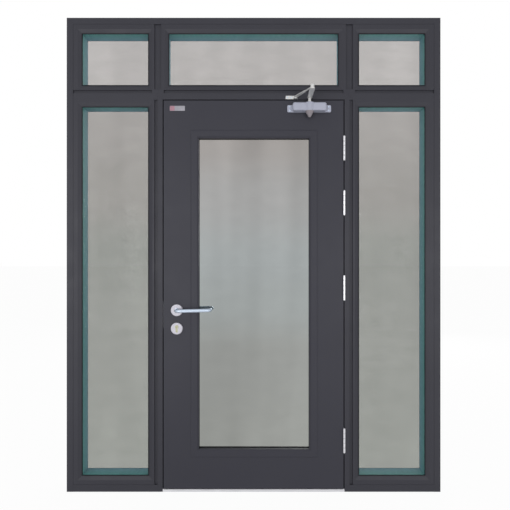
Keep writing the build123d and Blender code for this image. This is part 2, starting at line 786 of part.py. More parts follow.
# Roses: two round covers on each face of the leaf, domed at the rim
for end, label in ((-1, "front_roses"), (1, "rear_roses")):
    skin_face = LEAF_MIDDLE + end * LEAF_DEPTH / 2
    rose_middle = skin_face + end * ROSE_THICKNESS / 2
    with BuildPart() as roses:
        for height in (LEVER_Z, ESCUTCHEON_Z):
            with Locations((LOCK_X, rose_middle, height)):
                Cylinder(ROSE_RADIUS, ROSE_THICKNESS, rotation=(90, 0, 0))
        rims = roses.faces().sort_by(Axis.Y)[-2:] if end > 0 else roses.faces().sort_by(Axis.Y)[:2]
        fillet(rims.edges(), ROSE_ROUND)
        with Locations((LOCK_X, rose_middle, LEVER_Z)):
            Cylinder(
                COLLAR_RADIUS + ROSE_GAP,
                2 * ROSE_THICKNESS,
                rotation=(90, 0, 0),
                mode=Mode.SUBTRACT,
            )
        extrude(profile_outline(ROSE_GAP), amount=DEPTH, both=True, mode=Mode.SUBTRACT)
    save(roses.part, label)

# Lever handles: a round bar bent out from the rose, along, and back towards the leaf.
# The rear one carries the square spindle, which seats in the front one.
bar_y = FRONT - LEVER_OUT
lever_end = LOCK_X + LEVER_REACH
lever_root = FRONT - LEVER_GAP
with BuildPart() as lever_blank:
    with BuildLine():
        FilletPolyline(
            (LOCK_X, lever_root, LEVER_Z),
            (LOCK_X, bar_y, LEVER_Z),
            (lever_end, bar_y, LEVER_Z + LEVER_RISE),
            (lever_end, FRONT - LEVER_RETURN, LEVER_Z + LEVER_RISE),
            radius=LEVER_BEND,
        )
    with BuildSketch(Plane(origin=(LOCK_X, lever_root, LEVER_Z), z_dir=(0, -1, 0))):
        Circle(LEVER_RADIUS)
    sweep()
    with Locations((LOCK_X, lever_root - COLLAR_LENGTH / 2, LEVER_Z)):
        Cylinder(COLLAR_RADIUS, COLLAR_LENGTH, rotation=(90, 0, 0))

with BuildPart() as front_lever:
    add(lever_blank.part)
    block(
        about(LOCK_X, SPINDLE),
        (FRONT, FRONT - SPINDLE_GRIP),
        about(LEVER_Z, SPINDLE),
        mode=Mode.SUBTRACT,
    )
save(front_lever.part, "front_lever")

with BuildPart() as rear_lever:
    add(mirror(lever_blank.part, about=Plane.XZ.offset(-LEAF_MIDDLE), mode=Mode.PRIVATE))
    block(
        about(LOCK_X, SPINDLE),
        (FRONT - SPINDLE_GRIP, LEAF_REAR + SPINDLE),
        about(LEVER_Z, SPINDLE),
    )
save(rear_lever.part, "rear_lever")

# Door closer
CLOSER_SPAN = about(CLOSER_X, CLOSER_LENGTH)
with BuildPart() as closer_body:
    block(CLOSER_SPAN, (FRONT - CLOSER_DEPTH, FRONT), CLOSER_Z)
    front_edges = closer_body.faces().sort_by(Axis.Y)[0].edges()
    fillet(front_edges.filter_by(Axis.X), CLOSER_ROUND)
    ends = closer_body.faces().filter_by(Axis.X)
    front_corners = [face.edges().filter_by(Axis.Z).sort_by(Axis.Y)[0] for face in ends]
    chamfer(front_corners, CLOSER_CHAMFER)
    block(about(CLOSER_X, EAR_LENGTH), (FRONT - EAR_THICKNESS, FRONT), EAR_Z)
    ear_corners = closer_body.edges().filter_by(Axis.Y).group_by(Axis.X)
    fillet(ear_corners[0] + ear_corners[-1], EAR_CORNER)
    with Locations((CLOSER_X, CLOSER_Y, sum(CLOSER_Z) / 2)):
        Cylinder(HOUSING_RADIUS, CLOSER_Z[1] - CLOSER_Z[0])
    with Locations((CLOSER_X, CLOSER_Y, CLOSER_Z[1] + BOSS_HEIGHT / 2)):
        Cylinder(BOSS_RADIUS, BOSS_HEIGHT)
    pinion_bore = CLOSER_Z[1] + BOSS_HEIGHT - PINION_FOOT
    with Locations((CLOSER_X, CLOSER_Y, PINION_FOOT + pinion_bore / 2)):
        Cylinder(PINION_RADIUS + RUNNING_FIT, pinion_bore, mode=Mode.SUBTRACT)
save(closer_body.part, "closer_body")

with BuildPart() as closer_cap:
    with BuildSketch(Plane.XZ.offset(-CLOSER_Y)):
        with BuildLine():
            Polyline(
                (CLOSER_X, CAP_TIP_Z),
                (CLOSER_X + CAP_TIP_RADIUS, CAP_TIP_Z),
                (CLOSER_X + CAP_RADIUS, CLOSER_Z[0] - CAP_SHOULDER),
                (CLOSER_X + CAP_RADIUS, CLOSER_Z[0]),
                (CLOSER_X, CLOSER_Z[0]),
                close=True,
            )
        make_face()
    revolve(axis=Axis((CLOSER_X, CLOSER_Y, 0), (0, 0, 1)))
save(closer_cap.part, "closer_cap")

with BuildPart() as closer_main_arm:
    with BuildSketch(Plane.XY.offset(ARM_Z[0])):
        with Locations((CLOSER_X, CLOSER_Y)):
            Circle(ARM_RADIUS)
        with Locations((ELBOW_X, ELBOW_Y)):
            Circle(ARM_ELBOW_RADIUS)
        make_hull()
    extrude(amount=ARM_Z[1] - ARM_Z[0])
    pinion_z = (PINION_FOOT + PINION_END_GAP, ARM_Z[1])
    with Locations((CLOSER_X, CLOSER_Y, sum(pinion_z) / 2)):
        Cylinder(PINION_RADIUS, pinion_z[1] - pinion_z[0])
save(closer_main_arm.part, "closer_main_arm")

with BuildPart() as closer_forearm:
    shoe_point = Vector(SHOE_X, SHOE_Y, 0)
    elbow_point = Vector(ELBOW_X, ELBOW_Y, 0)
    run = elbow_point - shoe_point
    bar_end = shoe_point + run * FOREARM_BAR_SHARE
    rod_start = elbow_point - run * ROD_SHARE
    forearm_middle = sum(FOREARM_Z) / 2
    with BuildSketch(Plane.XY.offset(FOREARM_Z[0])):
        with Locations((SHOE_X, SHOE_Y)):
            Circle(FOREARM_EYE_RADIUS)
        with Locations((bar_end.X, bar_end.Y)):
            Circle(FOREARM_TIP_RADIUS)
        make_hull()
    extrude(amount=FOREARM_Z[1] - FOREARM_Z[0])
    rod_origin = (rod_start.X, rod_start.Y, forearm_middle)
    with BuildSketch(Plane(origin=rod_origin, z_dir=run)):
        Circle(ROD_RADIUS)
    extrude(amount=run.length * ROD_SHARE)
    with Locations((ELBOW_X, ELBOW_Y, sum(ELBOW_HEAD_Z) / 2)):
        Cylinder(ELBOW_HEAD_RADIUS, ELBOW_HEAD_Z[1] - ELBOW_HEAD_Z[0])
    fillet(closer_forearm.faces().sort_by(Axis.Z)[-1].edges(), ELBOW_HEAD_ROUND)
    shoe_pin_z = (SHOE_PLATE_Z[0] - SHOE_PIN_TAIL, FOREARM_Z[1])
    with Locations((SHOE_X, SHOE_Y, sum(shoe_pin_z) / 2)):
        Cylinder(PIN_RADIUS, shoe_pin_z[1] - shoe_pin_z[0])
save(closer_forearm.part, "closer_forearm")

with BuildPart() as closer_shoe:
    block(SHOE_PLATE_X, (FRONT - SHOE_THICKNESS, FRONT), SHOE_PLATE_Z)
    fillet(closer_shoe.edges().filter_by(Axis.Y), SHOE_CORNER)
    with BuildSketch(Plane.XY.offset(SHOE_PLATE_Z[0])):
        with Locations((SHOE_X, SHOE_Y)):
            Circle(LUG_RADIUS)
        with Locations((SHOE_X, FRONT - SHOE_THICKNESS / 2)):
            Rectangle(2 * LUG_RADIUS, SHOE_THICKNESS)
        make_hull()
    extrude(amount=LUG_TOP - SHOE_PLATE_Z[0])
    with Locations((SHOE_X, SHOE_Y, LUG_TOP)):
        Cylinder(PIN_RADIUS + RUNNING_FIT, 2 * (LUG_TOP - SHOE_PLATE_Z[0]), mode=Mode.SUBTRACT)
save(closer_shoe.part, "closer_shoe")
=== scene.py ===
import bmesh
import bpy
import json
import math
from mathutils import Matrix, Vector


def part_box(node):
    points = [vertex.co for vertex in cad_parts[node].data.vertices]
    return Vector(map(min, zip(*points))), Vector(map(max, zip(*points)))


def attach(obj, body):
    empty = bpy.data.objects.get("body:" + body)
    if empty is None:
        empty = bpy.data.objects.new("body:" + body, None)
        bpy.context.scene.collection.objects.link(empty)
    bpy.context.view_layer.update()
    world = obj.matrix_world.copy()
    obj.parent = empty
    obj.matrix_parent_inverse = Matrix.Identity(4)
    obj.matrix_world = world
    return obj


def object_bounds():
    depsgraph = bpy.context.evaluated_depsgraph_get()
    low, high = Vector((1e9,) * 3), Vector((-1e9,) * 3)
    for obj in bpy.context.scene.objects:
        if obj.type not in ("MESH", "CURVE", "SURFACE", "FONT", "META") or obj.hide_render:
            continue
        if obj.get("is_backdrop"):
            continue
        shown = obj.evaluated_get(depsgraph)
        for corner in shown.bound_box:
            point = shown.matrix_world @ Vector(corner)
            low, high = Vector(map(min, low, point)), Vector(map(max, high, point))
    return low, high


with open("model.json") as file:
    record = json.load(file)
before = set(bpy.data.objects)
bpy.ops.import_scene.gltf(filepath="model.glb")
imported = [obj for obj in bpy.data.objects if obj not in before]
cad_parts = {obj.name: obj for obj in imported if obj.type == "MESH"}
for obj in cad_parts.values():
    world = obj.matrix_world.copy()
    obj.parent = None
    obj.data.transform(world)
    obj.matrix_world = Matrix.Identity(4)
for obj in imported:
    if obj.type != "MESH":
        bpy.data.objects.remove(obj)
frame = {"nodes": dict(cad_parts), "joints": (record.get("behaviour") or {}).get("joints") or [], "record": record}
cad_low, cad_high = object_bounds()
nodes = frame["nodes"]

# Viewpoint
# Level with the middle of the frame and three metres in front of its face, a touch to the
# right of the centre line. Sizes and places are metres, and the film and lens millimetres.
eye_x = 0.0076
eye_height = 1.2814
eye_distance = 3.0
film_width_mm = 36
lens_mm = 39.14

eye = bpy.data.cameras.new("viewpoint")
eye.sensor_width = film_width_mm
eye.lens = lens_mm
viewpoint = bpy.data.objects.new("viewpoint", eye)
viewpoint.location = (eye_x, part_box("head")[0].y - eye_distance, eye_height)
viewpoint.rotation_euler = (math.radians(90), 0, 0)
bpy.context.scene.collection.objects.link(viewpoint)
bpy.context.scene.camera = viewpoint

# Floor, surroundings and lamps
# A plain white floor in an even white room. Two wide soft lamps stand in front at about a third
# of the frame's height, the left one the brighter, and another lights the far side.
bpy.context.scene.view_settings.view_transform = "Standard"


def new_finish(name, roughness, metallic=0.0, specular=0.5):
    """New material, with its node tree and its surface shader."""
    finish = bpy.data.materials.new(name)
    finish.use_nodes = True
    surface = finish.node_tree.nodes["Principled BSDF"]
    surface.inputs["Roughness"].default_value = roughness
    surface.inputs["Metallic"].default_value = metallic
    surface.inputs["Specular IOR Level"].default_value = specular
    return finish, finish.node_tree, surface


def seen_by(tree, *kinds):
    """1 for rays of these kinds, and 0 for all others."""
    rays = tree.nodes.new("ShaderNodeLightPath")
    seen = rays.outputs[kinds[0]]
    for kind in kinds[1:]:
        either = tree.nodes.new("ShaderNodeMath")
        either.operation = "MAXIMUM"
        tree.links.new(seen, either.inputs[0])
        tree.links.new(rays.outputs[kind], either.inputs[1])
        seen = either.outputs[0]
    return seen


floor_reach = 60
floor_white = 0.8
floor_own_light = 0.96

floor_mesh = bpy.data.meshes.new("floor")
floor_corners = [(-1, -1), (1, -1), (1, 1), (-1, 1)]
floor_points = [(x * floor_reach, y * floor_reach, 0) for x, y in floor_corners]
floor_mesh.from_pydata(floor_points, [], [(0, 1, 2, 3)])
floor = bpy.data.objects.new("floor", floor_mesh)
bpy.context.scene.collection.objects.link(floor)
floor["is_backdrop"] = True

# Looked at, or mirrored, the floor is mostly its own light, so that it stays white.
floor_finish, floor_tree, floor_surface = new_finish("white_floor", roughness=0.9, specular=0)
floor_surface.inputs["Base Color"].default_value = (floor_white, floor_white, floor_white, 1)
floor_glow = floor_tree.nodes.new("ShaderNodeEmission")
floor_share = floor_tree.nodes.new("ShaderNodeMath")
floor_share.operation = "MULTIPLY"
floor_share.inputs[1].default_value = floor_own_light
floor_mix = floor_tree.nodes.new("ShaderNodeMixShader")
floor_tree.links.new(seen_by(floor_tree, "Is Camera Ray", "Is Glossy Ray"), floor_share.inputs[0])
floor_tree.links.new(floor_share.outputs[0], floor_mix.inputs[0])
floor_tree.links.new(floor_surface.outputs[0], floor_mix.inputs[1])
floor_tree.links.new(floor_glow.outputs[0], floor_mix.inputs[2])
floor_tree.links.new(floor_mix.outputs[0], floor_tree.nodes["Material Output"].inputs["Surface"])
floor_mesh.materials.append(floor_finish)

room_light = 0.55

room = bpy.data.worlds.new("white_room")
bpy.context.scene.world = room
room.use_nodes = True
room_tree = room.node_tree
room_strength = room_tree.nodes.new("ShaderNodeMapRange")
room_strength.inputs["To Min"].default_value = room_light
room_strength.inputs["To Max"].default_value = 1
room_seen = seen_by(room_tree, "Is Camera Ray", "Is Glossy Ray", "Is Transmission Ray")
room_tree.links.new(room_seen, room_strength.inputs["Value"])
room_tree.nodes["Background"].inputs["Color"].default_value = (1, 1, 1, 1)
room_tree.links.new(room_strength.outputs[0], room_tree.nodes["Background"].inputs["Strength"])

lamp_aim = Vector((0, 0, 1.25))


def lamp(name, place, watts, size):
    """Soft square lamp, turned towards the middle of the object."""
    data = bpy.data.lights.new(name, "AREA")
    data.energy = watts
    data.shape = "SQUARE"
    data.size = size
    light = bpy.data.objects.new(name, data)
    light.location = place
    light.rotation_euler = (lamp_aim - Vector(place)).to_track_quat("-Z", "Y").to_euler()
    bpy.context.scene.collection.objects.link(light)


lamp("left_lamp", place=(-2.6, -6.4, 0.9), watts=150, size=3.0)
lamp("right_lamp", place=(2.8, -6.2, 0.8), watts=100, size=2.6)
lamp("far_lamp", place=(1.5, 6.0, 2.6), watts=170, size=3.0)


# Steel frame
# Head, jambs, sills, mullions and transoms: folded and welded steel sections with a flange and
# a step for the glass, coated dark grey with a satin powder that is baked on.
def paint(red, green, blue):
    """Shader colour that reads as these sRGB values on a display, each from 0 to 255."""
    colour = []
    for value in (red, green, blue):
        share = value / 255
        colour.append(share / 12.92 if share <= 0.04045 else ((share + 0.055) / 1.055) ** 2.4)
    return (*colour, 1)


def grain(tree, size, detail=2.0, stretch=(1, 1, 1)):
    """Uneven pattern with spots of that size in metres, drawn out along the axes."""
    place = tree.nodes.new("ShaderNodeTexCoord")
    drawn = tree.nodes.new("ShaderNodeMapping")
    drawn.inputs["Scale"].default_value = [1 / length for length in stretch]
    noise = tree.nodes.new("ShaderNodeTexNoise")
    noise.inputs["Scale"].default_value = 1 / size
    noise.inputs["Detail"].default_value = detail
    tree.links.new(place.outputs["Object"], drawn.inputs["Vector"])
    tree.links.new(drawn.outputs["Vector"], noise.inputs["Vector"])
    return noise.outputs["Fac"]


def between(tree, pattern, low, high, start=0.3, end=0.7):
    """The pattern as a value that runs from low to high while it runs from start to end."""
    spread = tree.nodes.new("ShaderNodeMapRange")
    spread.inputs["From Min"].default_value = start
    spread.inputs["From Max"].default_value = end
    spread.inputs["To Min"].default_value = low
    spread.inputs["To Max"].default_value = high
    tree.links.new(pattern, spread.inputs["Value"])
    return spread.outputs["Result"]


def blend(tree, share, first, second):
    """First tone where the share is 0 and second where it is 1. Each is a colour or a socket."""
    mix = tree.nodes.new("ShaderNodeMix")
    mix.data_type = "RGBA"
    tree.links.new(share, mix.inputs["Factor"])
    for name, tone in (("A", first), ("B", second)):
        if isinstance(tone, tuple):
            mix.inputs[name].default_value = tone
        else:
            tree.links.new(tone, mix.inputs[name])
    return mix.outputs["Result"]


def two_tones(tree, surface, pattern, first, second):
    """Colours the surface by the pattern, between two tones."""
    tone = blend(tree, between(tree, pattern, 0, 1), first, second)
    tree.links.new(tone, surface.inputs["Base Color"])


def uneven_gloss(tree, surface, pattern, low, high):
    """Lets the roughness of the surface follow the pattern, between two values."""
    tree.links.new(between(tree, pattern, low, high), surface.inputs["Roughness"])


def relief(tree, surface, pattern, height):
    """Raises the surface by the pattern, by that many metres at most."""
    bump = tree.nodes.new("ShaderNodeBump")
    bump.inputs["Distance"].default_value = height
    tree.links.new(pattern, bump.inputs["Height"])
    tree.links.new(bump.outputs["Normal"], surface.inputs["Normal"])


def powder_coat(name, dark, light):
    """Satin powder coat: cloudy in colour by a shade, with the fine peel of melted powder, and
    a gloss that hands and cloths have made uneven."""
    finish, tree, surface = new_finish(name, roughness=0.42, specular=0.18)
    two_tones(tree, surface, grain(tree, size=0.5, detail=3), dark, light)
    relief(tree, surface, grain(tree, size=0.0022), height=0.00003)
    uneven_gloss(tree, surface, grain(tree, size=0.09, detail=4), low=0.37, high=0.47)
    return finish


def finish_node(name, finish, edge=None):
    """Gives a construction node its finish. A flat-sided one is given the metres to ease its
    edges by, 0 for none, and a round one keeps the smooth faces it has."""
    same_point = 0.00001
    flat_within = math.radians(0.5)
    sharp_beyond = math.radians(35)
    body = nodes[name]
    body.data.materials.clear()
    body.data.materials.append(finish)
    for face in body.data.polygons:
        face.material_index = 0
    if edge is None:
        return
    for face in body.data.polygons:
        face.use_smooth = False
    if edge == 0:
        return
    weld = body.modifiers.new("weld", "WELD")
    weld.merge_threshold = same_point
    flats = body.modifiers.new("flats", "DECIMATE")
    flats.decimate_type = "DISSOLVE"
    flats.angle_limit = flat_within
    eased = body.modifiers.new("eased_edges", "BEVEL")
    eased.width = edge
    eased.segments = 2
    eased.limit_method = "ANGLE"
    eased.angle_limit = sharp_beyond


member_edge = 0.0006

frame_coat = powder_coat("frame_powder_coat", dark=paint(57, 57, 64), light=paint(60, 60, 67))
frame_members = ["head", "left_jamb", "right_jamb", "left_sill", "right_sill"]
frame_members += ["left_mullion", "right_mullion"]
frame_members += ["left_transom", "centre_transom", "right_transom"]
for name in frame_members:
    finish_node(name, frame_coat, member_edge)


# Teal liners
# A lined channel of thin sheet runs round each fixed lite between its two panes, and shows as
# a teal band where the eye looks in past the bead. It turns bluer with depth.
def by_axis(tree, axis, start, end):
    """Share of the way from one place to another along an axis."""
    place = tree.nodes.new("ShaderNodeTexCoord")
    axes = tree.nodes.new("ShaderNodeSeparateXYZ")
    tree.links.new(place.outputs["Object"], axes.inputs[0])
    return between(tree, axes.outputs[axis], 0, 1, start, end)


def shaded(tree, colour, pattern, low, high):
    """The colour times a value that follows the pattern."""
    shade = tree.nodes.new("ShaderNodeVectorMath")
    shade.operation = "SCALE"
    tree.links.new(colour, shade.inputs[0])
    tree.links.new(between(tree, pattern, low, high), shade.inputs["Scale"])
    return shade.outputs["Vector"]


teal, teal_tree, teal_surface = new_finish("teal_liner", roughness=0.6, specular=0.15)
liner_low, liner_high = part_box("left_top_liner")
teal_depth = by_axis(teal_tree, "Y", liner_low.y, liner_high.y)
teal_tone = blend(teal_tree, teal_depth, paint(92, 162, 160), paint(112, 156, 174))
teal_streaks = grain(teal_tree, size=0.01, detail=3, stretch=(1, 12, 1))
teal_tone = shaded(teal_tree, teal_tone, teal_streaks, low=0.9, high=1.08)
teal_tree.links.new(teal_tone, teal_surface.inputs["Base Color"])

lites = ["left_top", "centre_top", "right_top", "left_side", "right_side"]
for lite in lites:
    finish_node(f"{lite}_liner", teal)


# Panes of the fixed lites
# Two sheets of float glass to a lite. The front one is nearly clear, and the far one is a grey
# solar glass. Its tint, which changes by height and is lightest at the top, and its faint bands and clouds are a
# painted reflection of a room.
def glass_tint(red, green, blue):
    """Colour of each face of a pane through which white reads as these display values."""
    return (*[math.sqrt(share) for share in paint(red, green, blue)[:3]], 1)


def grey_glass(name, stops, bands, clouds, clear_before=None):
    """Glass whose tint runs by height through the stops, with upright bands and clouds, which
    together are a painted reflection of a room. A stop is a height, and the tone of white seen
    through the pane there. Faces nearer than a given depth are left almost clear."""
    gloss_white = (0.9, 0.92, 0.92, 1)
    almost_clear = glass_tint(244, 245, 244)
    clearing_depth = 0.001
    glance_power = 5
    straight_mirror = 0.012
    grazing_mirror = 0.8
    glass, tree, gloss = new_finish(name, roughness=0.03)
    gloss.inputs["Base Color"].default_value = gloss_white
    ramp = tree.nodes.new("ShaderNodeValToRGB")
    ramp.color_ramp.interpolation = "EASE"
    points = ramp.color_ramp.elements
    while len(points) < len(stops):
        points.new(position=0.5)
    for point, (level, colour) in zip(points, stops):
        point.position = level / cad_high.z
        point.color = glass_tint(*colour)
    tree.links.new(by_axis(tree, "Z", 0, cad_high.z), ramp.inputs["Fac"])
    # The tint by height and these upright bands and clouds are a painted reflection of a room.
    painted_reflection_bands = grain(tree, size=0.17, detail=1, stretch=(1, 1, 9))
    painted_reflection_clouds = grain(tree, size=0.07, detail=2, stretch=(1.6, 1, 0.8))
    tint = shaded(tree, ramp.outputs["Color"], painted_reflection_bands, 1 - bands, 1 + bands)
    tint = shaded(tree, tint, painted_reflection_clouds, 1 - clouds, 1 + clouds)
    if clear_before is not None:
        depth = by_axis(tree, "Y", clear_before - clearing_depth, clear_before + clearing_depth)
        tint = blend(tree, depth, almost_clear, tint)
    clear = tree.nodes.new("ShaderNodeBsdfTransparent")
    tree.links.new(tint, clear.inputs["Color"])
    # The pane mirrors more the more it is seen at a slant. This goes by the slant alone, because
    # a share worked out from refraction makes full mirrors of the inner faces at low angles.
    slant = tree.nodes.new("ShaderNodeLayerWeight")
    slant.inputs["Blend"].default_value = 0.5
    glance = tree.nodes.new("ShaderNodeMath")
    glance.operation = "POWER"
    glance.inputs[1].default_value = glance_power
    tree.links.new(slant.outputs["Facing"], glance.inputs[0])
    mirror = between(tree, glance.outputs[0], straight_mirror, grazing_mirror, start=0, end=1)
    pane = tree.nodes.new("ShaderNodeMixShader")
    tree.links.new(mirror, pane.inputs[0])
    tree.links.new(clear.outputs[0], pane.inputs[1])
    tree.links.new(gloss.outputs[0], pane.inputs[2])
    tree.links.new(pane.outputs[0], tree.nodes["Material Output"].inputs["Surface"])
    return glass


# Tone of white through the far pane at each height: a painted reflection of a room.
lite_painted_reflection_stops = [
    (0.1, (162, 164, 159)),
    (0.95, (160, 161, 157)),
    (1.3, (156, 157, 153)),
    (1.6, (163, 160, 157)),
    (2.08, (171, 167, 165)),
    (2.2, (191, 187, 186)),
]
solar_glass = grey_glass("solar_glass", lite_painted_reflection_stops, bands=0.03, clouds=0.018, clear_before=0)
for lite in lites:
    finish_node(f"{lite}_panes", solar_glass)


# Gaskets
# Wedges of extruded black rubber, mitred at the corners and pressed in between each pane and
# the lip of its bead. Only the rounded tip shows. Its black is also painted shade: it stands
# in for the shade under the lips of the beads.
def piece(name, points, faces, finish, smooth=False):
    """New object from its corners and faces, all facing outwards."""
    mesh = bpy.data.meshes.new(name)
    mesh.from_pydata(points, [], faces)
    shape = bmesh.new()
    shape.from_mesh(mesh)
    bmesh.ops.recalc_face_normals(shape, faces=shape.faces)
    shape.to_mesh(mesh)
    shape.free()
    mesh.materials.append(finish)
    for face in mesh.polygons:
        face.use_smooth = smooth
    made = bpy.data.objects.new(name, mesh)
    bpy.context.scene.collection.objects.link(made)
    return made


def loop_faces(start, rows, across, closed=False):
    """Faces that join each row of points to the next and the last to the first. A row has as
    many points as lie across, and a closed one joins its two ends as well."""
    faces = []
    for row in range(rows):
        here = start + row * across
        there = start + (row + 1) % rows * across
        for number in range(across if closed else across - 1):
            after = (number + 1) % across
            faces.append((here + number, there + number, there + after, here + after))
    return faces


def ring_of(limits, section):
    """Section swept round an upright rectangle, with mitred corners. Each point of the section
    is how far it lies inside the rectangle, and its depth."""
    left, right, bottom, top = limits
    corners = [(left, bottom, 1, 1), (right, bottom, -1, 1), (right, top, -1, -1), (left, top, 1, -1)]
    points = []
    for x, z, rightward, upward in corners:
        points += [(x + rightward * inside, depth, z + upward * inside) for inside, depth in section]
    return points, loop_faces(0, len(corners), len(section), closed=True)


def wedge(pane_face, outward, width, height):
    """Rounded wedge on a pane, from just under the bead's lip to its tip on the glass."""
    underlap = 0.0004
    steps = 5
    points = []
    for step in range(steps + 1):
        turn = math.pi / 2 * step / steps
        points.append((width * math.sin(turn), pane_face + outward * height * math.cos(turn)))
    points.append((-underlap, pane_face))
    points.append((-underlap, pane_face + outward * height))
    return points


gasket_width = 0.003
gasket_height = 0.006
recess_gap = 0.002

recesses = {space["name"]: space["box_m"] for space in frame["record"]["physics"]["openings"]}


def bead_mouth(recess):
    """Left, right, bottom and top of the mouth that the beads leave round a recess."""
    low, high = recesses[recess]
    return low[0] - recess_gap, high[0] + recess_gap, low[2] - recess_gap, high[2] + recess_gap


rubber, rubber_tree, rubber_surface = new_finish("black_rubber", roughness=0.6, specular=0.2)
rubber_bloom = grain(rubber_tree, size=0.03, detail=4)
two_tones(rubber_tree, rubber_surface, rubber_bloom, paint(26, 27, 31), paint(34, 35, 40))
relief(rubber_tree, rubber_surface, grain(rubber_tree, size=0.0009), height=0.00002)

# The black gaskets are seals, and also painted shade for the shade under the beads' lips.
for lite in lites:
    pane_low, pane_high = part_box(f"{lite}_panes")
    liner_low, liner_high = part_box(f"{lite}_liner")
    rear_mouth = (liner_low.x, liner_high.x, liner_low.z, liner_high.z)
    sides = (
        ("front", bead_mouth(f"{lite}_front_recess"), pane_low.y, -1),
        ("rear", rear_mouth, pane_high.y, 1),
    )
    for side, mouth, pane_face, outward in sides:
        section = wedge(pane_face, outward, gasket_width, gasket_height)
        gasket = piece(f"{lite}_{side}_gasket", *ring_of(mouth, section), rubber)
        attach(gasket, "frame")

# Glazing beads
# Channels folded from thin steel, mitred at the corners, clipped over the glass on both sides
# and coated with the frame. Their edges stay sharp, as easing would push the mitres outwards.
for lite in lites:
    finish_node(f"{lite}_beads", frame_coat, edge=0)

# Door frame
# Lock jamb, hinge jamb and head round the leaf. Each is two folded steel sheets that meet at
# the stop, welded at the mitres and coated with the frame.
for name in ("door_lock_jamb", "door_hinge_jamb", "door_head"):
    finish_node(name, frame_coat, member_edge)


# Threshold
# An aluminium extrusion with grooves along it, left as it comes from the mill and screwed down
# through its flat with plated screws.
def screw_heads(name, places, outward, radius, rise, finish):
    """Screw heads with a six-sided socket, each centred on its place and facing outward, that
    stand proud by the rise."""
    sides = 24
    crown_share = 0.85
    socket_share = 0.45
    socket_foot_share = 0.9
    socket_foot_height = rise * 0.15
    corner_turn = math.pi / 3
    crown = radius * crown_share
    socket = radius * socket_share
    turn = Vector((0, 0, 1)).rotation_difference(Vector(outward)).to_matrix()
    points = []
    faces = []
    for place in places:
        start = len(points)
        for number in range(sides):
            angle = 2 * math.pi * number / sides
            from_middle = angle % corner_turn - corner_turn / 2
            flat = math.cos(corner_turn / 2) / math.cos(from_middle)
            rings = (
                (radius, 0),
                (crown, rise),
                (socket * flat, rise),
                (socket * flat * socket_foot_share, socket_foot_height),
            )
            for reach, height in rings:
                spot = Vector((reach * math.cos(angle), reach * math.sin(angle), height))
                points.append(Vector(place) + turn @ spot)
        count = len(rings)
        faces += loop_faces(start, sides, count)
        faces.append([start + count * number + count - 1 for number in range(sides)])
    return piece(name, points, faces, finish)


threshold_edge = 0.0004
floor_screw_step = 0.2
floor_screw_y = 0.005

mill, mill_tree, mill_surface = new_finish("mill_aluminium", roughness=0.35, metallic=1)
mill_lines = grain(mill_tree, size=0.0012, detail=3, stretch=(60, 1, 1))
two_tones(mill_tree, mill_surface, mill_lines, paint(188, 188, 192), paint(212, 212, 216))
uneven_gloss(mill_tree, mill_surface, mill_lines, low=0.3, high=0.42)
relief(mill_tree, mill_surface, mill_lines, height=0.00002)
finish_node("threshold", mill, threshold_edge)

zinc, zinc_tree, zinc_surface = new_finish("zinc_plate", roughness=0.32, metallic=1)
zinc_spangle = grain(zinc_tree, size=0.006, detail=5)
two_tones(zinc_tree, zinc_surface, zinc_spangle, paint(104, 105, 110), paint(126, 127, 132))
uneven_gloss(zinc_tree, zinc_surface, zinc_spangle, low=0.28, high=0.4)

sill_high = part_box("threshold")[1]
floor_screws = [(step * floor_screw_step, floor_screw_y, sill_high.z) for step in range(-2, 3)]
screws = screw_heads(
    "threshold_screws", floor_screws, outward=(0, 0, 1), radius=0.0045, rise=0.0006, finish=zinc
)
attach(screws, "frame")

# Rebate seal
# Black extruded rubber along the face of the stop, up both sides and across the head. The
# closed leaf bears on it.
seal_edge = 0.0008

finish_node("rebate_seal", rubber, seal_edge)


# Strike plate
# Zinc-plated steel, passivated dark, screwed on the lock jamb over the keeps of the latch and
# the bolt. A sheet dust box stands behind each keep.
def near_ends(low, high, face_x, inset):
    """Two places on the upright middle line of a plate's face, that far in from its ends."""
    middle_y = (low.y + high.y) / 2
    return [(face_x, middle_y, level) for level in (low.z + inset, high.z - inset)]


strike_edge = 0.0002
strike_screw_inset = 0.012

finish_node("strike_plate", zinc, strike_edge)

strike_low, strike_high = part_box("strike_plate")
strike_screws = near_ends(strike_low, strike_high, strike_high.x, strike_screw_inset)
screws = screw_heads(
    "strike_screws", strike_screws, outward=(1, 0, 0), radius=0.004, rise=0.0005, finish=zinc
)
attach(screws, "frame")

# Leaf skins, core and vision rings
# A folded front skin and a flat rear one over a core of mineral board. The rings round the
# vision pane are folded from thinner sheet and coated with the leaf.
skin_edge = 0.0004

leaf_coat = powder_coat("leaf_powder_coat", dark=paint(57, 57, 65), light=paint(60, 60, 68))
for name in ("leaf_front_skin", "leaf_rear_skin", "vision_beads"):
    finish_node(name, leaf_coat, skin_edge)

board, board_tree, board_surface = new_finish("mineral_board", roughness=0.9)
board_fibre = grain(board_tree, size=0.004, detail=6)
two_tones(board_tree, board_surface, board_fibre, paint(186, 174, 150), paint(204, 194, 172))
relief(board_tree, board_surface, board_fibre, height=0.0003)
finish_node("leaf_core", board)

# Vision pane
# One thick laminated pane, held in the leaf by the rings with a grey gasket on each face. Its
# tint, about as grey as the sidelights and a little bluer at half its height, with its bands
# and clouds, is a painted reflection of a room.
vision_gasket_width = 0.0015
vision_gasket_height = 0.0019
vision_painted_reflection_stops = [
    (0.25, (152, 154, 150)),
    (0.75, (151, 153, 150)),
    (1.0, (160, 165, 164)),
    (1.25, (162, 167, 167)),
    (1.6, (164, 164, 163)),
    (1.9, (160, 156, 153)),
]
vision_glass = grey_glass("vision_glass", vision_painted_reflection_stops, bands=0.05, clouds=0.012)
finish_node("vision_pane", vision_glass)

grey_rubber, grey_tree, grey_surface = new_finish("grey_rubber", roughness=0.6, specular=0.2)
grey_bloom = grain(grey_tree, size=0.03, detail=4)
two_tones(grey_tree, grey_surface, grey_bloom, paint(50, 50, 56), paint(58, 58, 64))

